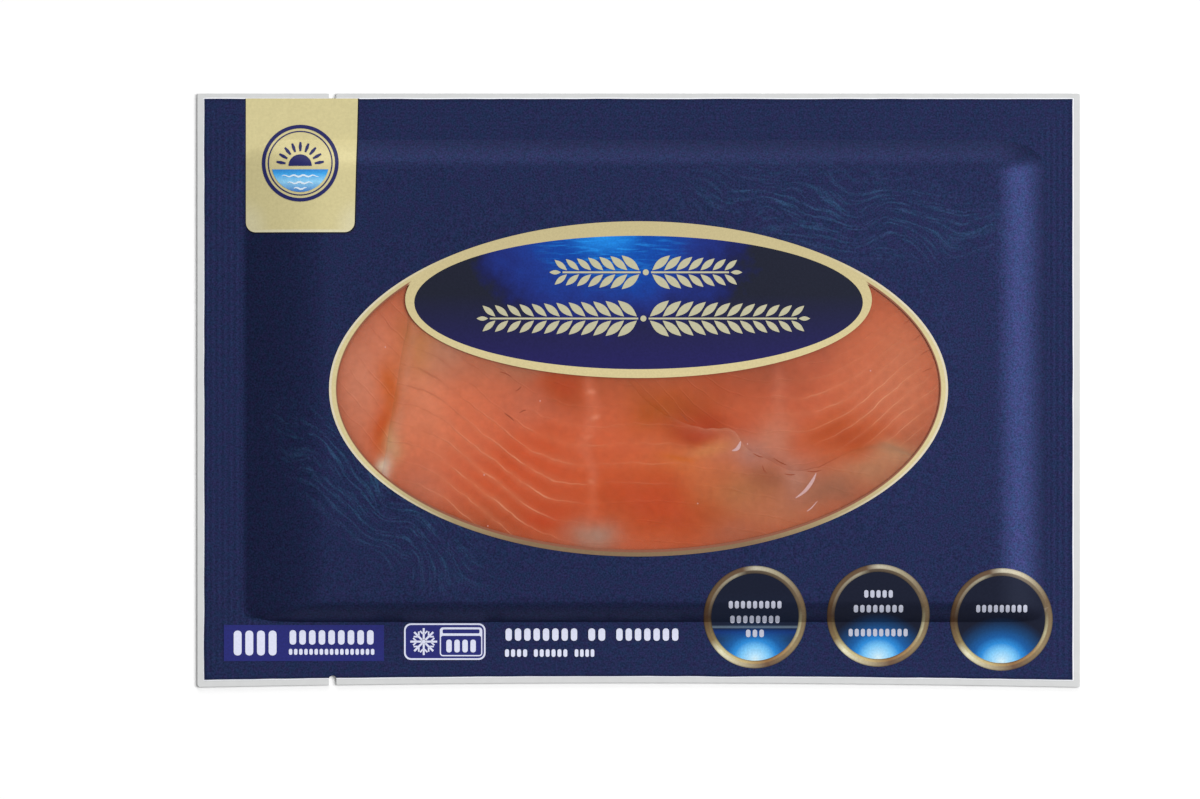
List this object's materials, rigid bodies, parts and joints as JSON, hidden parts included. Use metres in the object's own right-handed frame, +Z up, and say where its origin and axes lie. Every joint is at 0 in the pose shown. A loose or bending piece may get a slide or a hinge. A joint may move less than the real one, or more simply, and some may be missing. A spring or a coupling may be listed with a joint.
{
  "type": "pack of smoked salmon",
  "caption": "Flat navy film pouch of sliced smoked salmon with an oval gold-rimmed window, a dark title oval, a gold corner tag and round badges along its lower edge.",
  "frame": {"origin": "under the middle of the pack, on the plane that its back film rests on", "axes": "+X to the right of the print along the longest side, +Y to the print's top edge, +Z up through the pack's thickness"},
  "size_m": [0.22, 0.148, 0.0068],
  "materials": {
    "clear_film": "clear, slightly hazy",
    "navy_film": "satin print",
    "window_film": "clear, glossy",
    "gold_print": "satin gold ink",
    "title_print": "satin print",
    "tag_print": "satin gold ink",
    "strip_print": "satin print",
    "badge_ring": "satin bronze ink",
    "badge_disc": "satin print",
    "smoked_fish": "moist, slightly oily flesh"
  },
  "bodies": {
    "root": {"back_film": "clear_film", "front_film": "navy_film", "window_film": "window_film", "window_rim": "gold_print", "title_panel": "title_print", "corner_tag": "tag_print", "blue_strip": "strip_print", "badge_ring_1": "badge_ring", "badge_ring_2": "badge_ring", "badge_ring_3": "badge_ring", "badge_disc_1": "badge_disc", "badge_disc_2": "badge_disc", "badge_disc_3": "badge_disc", "salmon_slice_left": "smoked_fish", "salmon_slice_middle": "smoked_fish", "salmon_slice_right": "smoked_fish"}
  },
  "joints": []
}
